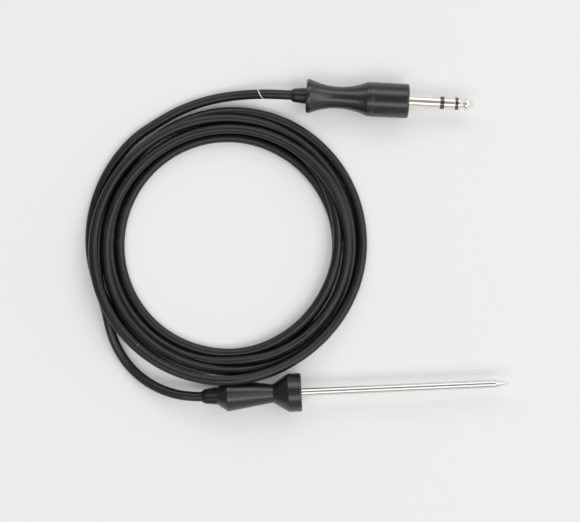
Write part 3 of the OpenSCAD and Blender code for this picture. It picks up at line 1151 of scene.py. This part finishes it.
    def _over_handle(self, x: np.ndarray, y: np.ndarray) -> np.ndarray:
        """Returns how high the strand must be to lie on the handle, or 0 away from it.

        Args:
            x: places of the strand's points along the handle.
            y: their places across it.

        Returns:
            The lowest z for each point.
        """
        stations, radii = zip(*self.handle_outline)
        nothing = -99.0  # a radius that no point is inside
        room = np.interp(x, stations, radii, left=nothing, right=nothing) + self.diameter / 2
        lift = self.axis_z + np.sqrt(np.clip(room ** 2 - y ** 2, 0, None))
        return np.where(np.abs(y) < room, lift, 0)

    def route(self, placing: Matrix) -> np.ndarray:
        """Joins the two leads and the coil.

        Args:
            placing: the plug's place, whose axis the cord's last stretch follows.

        Returns:
            The whole centreline in metres, evenly spaced, from the handle to the plug.
        """
        on_axis = [tuple(placing @ Vector((s * MM, 0, 0)) / MM) for s in self.plug_steps]
        out = np.array(on_axis + list(self.route_out), dtype=float)
        points = np.concatenate([np.array(self.route_in, dtype=float), self.coil()[::-1][1:-1], out[::-1]])
        fine = self._curved(points)
        far = np.concatenate([[0], np.cumsum(np.linalg.norm(np.diff(fine, axis=0), axis=1))])
        even = np.linspace(0, far[-1], round(far[-1] / self.ring_step) + 1)
        line = np.stack([np.interp(even, far, fine[:, k]) for k in range(3)], axis=1)
        keep = round(self.held / self.ring_step)
        for k in range(3):
            line[keep:-keep, k] = self._even(line[keep:-keep, k], self.last_easing)
        line[:, 2] = np.maximum(line[:, 2], self.diameter / 2)
        return line * MM

    def _curved(self, points: np.ndarray, parts: int = 6) -> np.ndarray:
        """Draws a smooth curve through points.

        Args:
            points: the points, one a row.
            parts: the steps in each span.

        Returns:
            The curve's points.
        """
        a = np.concatenate([points[:1], points[:-2]])
        b, c = points[:-1], points[1:]
        d = np.concatenate([points[2:], points[-1:]])
        rows = []
        for k in range(parts):
            t = k / parts
            rows.append(0.5 * (2 * b + (c - a) * t + (2 * a - 5 * b + 4 * c - d) * t ** 2
                               + (3 * b - a - 3 * c + d) * t ** 3))
        return np.concatenate([np.stack(rows, axis=1).reshape(-1, 3), points[-1:]])

    def frames(self, line: np.ndarray) -> tuple[np.ndarray, np.ndarray]:
        """Works out the directions across the cord, without twist beyond the route's own.

        Args:
            line: the centreline.

        Returns:
            A side and an up direction at each point.
        """
        along = np.gradient(line, axis=0)
        along /= np.linalg.norm(along, axis=1)[:, None]
        side = np.cross(np.array([0, 0, 1.0]), along)
        side /= np.linalg.norm(side, axis=1)[:, None]
        return side, np.cross(along, side)

    def build(self, placing: Matrix, jacket: Material, ink: Material, plug_pieces: list[Piece]) -> Piece:
        """Args:
            placing: the plug's place.
            jacket: finish of the cord.
            ink: finish of the tick.
            plug_pieces: the pieces and nodes on the cord's far end; not used.

        Returns:
            The cord.
        """
        line = self.route(placing)
        cord = self._tube(line, jacket)
        tick = self._tick(line, ink)
        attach(cord, Body.PROBE_AND_CORD.value)
        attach(tick, Body.PROBE_AND_CORD.value)
        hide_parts("cord_probe_lead", "cord_coil", "cord_plug_lead")
        LOG.info("cord: %d points", len(line))
        return cord

    def _tube(self, line: np.ndarray, jacket: Material) -> Piece:
        """Makes the round cord, closed at both ends, with its UV map.

        Args:
            line: the centreline in metres.
            jacket: the finish.

        Returns:
            The cord.
        """
        side, up = self.frames(line)
        count, sides = len(line), self.sides
        turn = np.arange(sides) * math.tau / sides
        rim = np.cos(turn)[None, :, None] * side[:, None] + np.sin(turn)[None, :, None] * up[:, None]
        points = line[:, None] + self.diameter / 2 * MM * rim
        faces, places = [], []
        for i in range(count - 1):
            for k in range(sides):
                after = (k + 1) % sides
                faces.append((i * sides + k, i * sides + after, (i + 1) * sides + after, (i + 1) * sides + k))
                places += [(k, i), (k + 1, i), (k + 1, i + 1), (k, i + 1)]
        faces.append(tuple(range(sides - 1, -1, -1)))
        faces.append(tuple((count - 1) * sides + k for k in range(sides)))
        places += [(k, 0) for k in range(sides - 1, -1, -1)] + [(k, count - 1) for k in range(sides)]
        mesh = bpy.data.meshes.new("coiled_cord")
        mesh.from_pydata(points.reshape(-1, 3).tolist(), [], faces)
        scale = np.array([1 / sides, self.ring_step * MM])
        mesh.uv_layers.new(name="UVMap").data.foreach_set("uv", (np.array(places) * scale).ravel())
        mesh.shade_smooth()
        mesh.materials.append(jacket)
        return put("coiled_cord", mesh)

    def _tick(self, line: np.ndarray, ink: Material) -> Piece:
        """Makes the thin slanted tick printed across the cord near the plug.

        Args:
            line: the centreline in metres.
            ink: the finish.

        Returns:
            The tick.
        """
        half_l, half_w = (size * MM for size in self.tick_half)
        proud, sunk, steps, last_rings = 0.03, -0.06, 14, 60
        first = len(line) - last_rings
        at = first + int(np.argmin(np.abs(line[first:, 0] - self.tick_at * MM)))
        side, up = self.frames(line)
        along = np.cross(side[at], up[at])
        points, faces = [], []
        for k in range(steps + 1):
            share = 2 * k / steps - 1
            angle = math.radians(self.tick_wrap) * share
            out = math.cos(angle) * up[at] - math.sin(angle) * side[at]
            middle = line[at] + along * half_l * share
            for lift in (proud, sunk):
                for edge in (-1, 1):
                    points.append(middle + along * half_w * edge + out * (self.diameter / 2 + lift) * MM)
        for k in range(steps):
            a, b = 4 * k, 4 * k + 4
            faces += [(a, a + 1, b + 1, b), (a + 2, b + 2, b + 3, a + 3),
                      (a, b, b + 2, a + 2), (a + 1, a + 3, b + 3, b + 1)]
        end = 4 * steps
        faces += [(0, 2, 3, 1), (end, end + 1, end + 3, end + 2)]
        mesh = bpy.data.meshes.new("printed_tick")
        mesh.from_pydata([tuple(p) for p in points], [], faces)
        mesh.materials.append(ink)
        return put("printed_tick", mesh)


class InnerPieces:
    """The CAD nodes inside the mouldings, which keep their shape and get their finish."""

    NODES = {
        Slot.STEEL: ("tube_anchor",),
        Slot.BRASS: ("lead_splices", "probe_cord_crimp", "sleeve_lug", "ring_lug", "tip_lug"),
        Slot.SOLDER: ("solder_joints",),
        Slot.CORES: ("sensor_leads", "splice_sleeves", "probe_cores", "plug_cores"),
        Slot.FILLER: ("tip_filler", "handle_potting"),
        Slot.CERAMIC: ("sensor_element",),
        Slot.PLASTIC: ("stack_washers",),
    }
    IN_PLUG = ("plug_cores", "solder_joints", "sleeve_lug", "ring_lug", "tip_lug", "stack_washers")

    def dress(self) -> None:
        """Gives each inner node the material of its slot."""
        for slot, names in self.NODES.items():
            material = INNER_FINISHES[slot].material()
            for name in names:
                for place in frame["nodes"][name].material_slots:
                    place.material = material
                LOG.info("%s: %s", name, material.name)


# Studio


@dataclass(frozen=True)
class SoftBox:
    """One soft light: where it stands, its width and height in metres and its power in watts."""

    name: str
    place: Point
    size: tuple[float, float]
    power: float

    def light(self, aim: Point) -> None:
        """Adds the light to the scene.

        Args:
            aim: the point it faces.
        """
        data = bpy.data.lights.new(self.name, "AREA")
        data.shape, data.size, data.size_y, data.energy = "RECTANGLE", *self.size, self.power
        lamp = put(self.name, data)
        lamp.location = self.place
        lamp.rotation_euler = (Vector(aim) - Vector(self.place)).to_track_quat("-Z", "Y").to_euler()


@dataclass
class Studio:
    """The pale floor, the soft lights and the camera straight above. Sizes in metres."""

    camera_height: float = 0.8
    view_middle: tuple[float, float] = (-0.0289, 0.0631)
    view_turn: float = -2.53
    lens: float = 102.3
    sensor: float = 36.0
    floor_size: float = 3.0
    floor_colours: tuple[Colour, Colour] = ((0.8, 0.8, 0.795), (0.82, 0.82, 0.817))
    middle: Point = (0.0, 0.06, 0.0)
    soft_boxes: tuple[SoftBox, ...] = (
        SoftBox("right_softbox", (0.6, 0.06, 0.95), (0.7, 0.7), 3.3),
        SoftBox("far_softbox", (0.0, 0.98, 0.82), (1.9, 0.6), 7.8),
        SoftBox("near_softbox", (0.0, -0.5, 0.95), (1.6, 0.42), 6.1))
    wall_light: float = 0.58
    right_share: float = 0.4
    ceiling_light: float = 0.3
    ceiling_from: tuple[float, float] = (0.45, 0.85)
    shoulder: tuple[tuple[float, float], ...] = ((0.0, 0.0), (0.72, 0.72), (1.0, 0.87))

    def place_camera(self) -> None:
        """Places the camera, looking straight down with a slight turn."""
        data = bpy.data.cameras.new("camera")
        data.lens, data.sensor_width = self.lens, self.sensor
        camera = put("camera", data)
        camera.location = (*self.view_middle, self.camera_height)
        camera.rotation_euler = (0, 0, math.radians(self.view_turn))
        bpy.context.scene.camera = camera

    def lay_floor(self) -> None:
        """Lays the plain pale floor under the object."""
        half = self.floor_size / 2
        mesh = bpy.data.meshes.new("floor")
        corners = [(-half, -half, 0), (half, -half, 0), (half, half, 0), (-half, half, 0)]
        mesh.from_pydata(corners, [], [(0, 1, 2, 3)])
        paint = Paint("pale_floor", Roughness=0.9, Specular_IOR_Level=0.1)
        grain = paint.group("fine_grain", Grain_Scale=900.0, Patch_Scale=6.0)
        paint.feed("Base Color", paint.mix(grain["Patches"], *self.floor_colours))
        mesh.materials.append(paint.material)
        put("floor", mesh)

    def set_up(self) -> None:
        """Lights the set: the soft boxes, pale walls and a dimmer ceiling."""
        for box in self.soft_boxes:
            box.light(self.middle)
        world = bpy.data.worlds.new("studio")
        world.use_nodes = True
        graph = Graph(world.node_tree)
        way = graph.parts(graph.add("ShaderNodeTexCoord").outputs["Generated"])
        overhead = graph.ramp(way[2], *self.ceiling_from)
        walls = graph.calc("MULTIPLY_ADD", way[0], self.right_share, self.wall_light)
        glow = graph.out("ShaderNodeMapRange", {0: overhead, 3: walls, 4: self.ceiling_light})
        backdrop = world.node_tree.nodes["Background"]
        graph.tree.links.new(glow, backdrop.inputs["Strength"])
        backdrop.inputs["Color"].default_value = (1, 1, 1, 1)
        bpy.context.scene.world = world
        self.expose()

    def expose(self) -> None:
        """Sets the plain view with a soft shoulder, so that a bright floor keeps its shades."""
        view = bpy.context.scene.view_settings
        view.view_transform = "Standard"
        view.use_curve_mapping = True
        mapping = view.curve_mapping
        mapping.extend = "EXTRAPOLATED"
        curve = mapping.curves[3]
        low, high = curve.points[0], curve.points[-1]
        low.location, high.location = self.shoulder[0], self.shoulder[-1]
        for place in self.shoulder[1:-1]:
            curve.points.new(*place)
        mapping.update()


def main() -> None:
    """Builds the scene, piece by piece."""
    logging.basicConfig(level=logging.INFO, format="%(name)s: %(message)s")
    studio = Studio()
    studio.place_camera()
    plastic, rubber = PLASTIC.material(), RUBBER.material()
    plug = Plug()
    plug_pieces = plug.build(NICKEL.material(), plastic, rubber, RING_PLASTIC.material())
    inner = [frame["nodes"][name] for name in InnerPieces.IN_PLUG]
    CoiledCord().build(plug.placing, JACKET.material(), INK.material(), plug_pieces + inner)
    Probe().build(STEEL.material(), plastic, rubber)
    InnerPieces().dress()
    studio.lay_floor()
    studio.set_up()


if __name__ == "__main__":
    main()
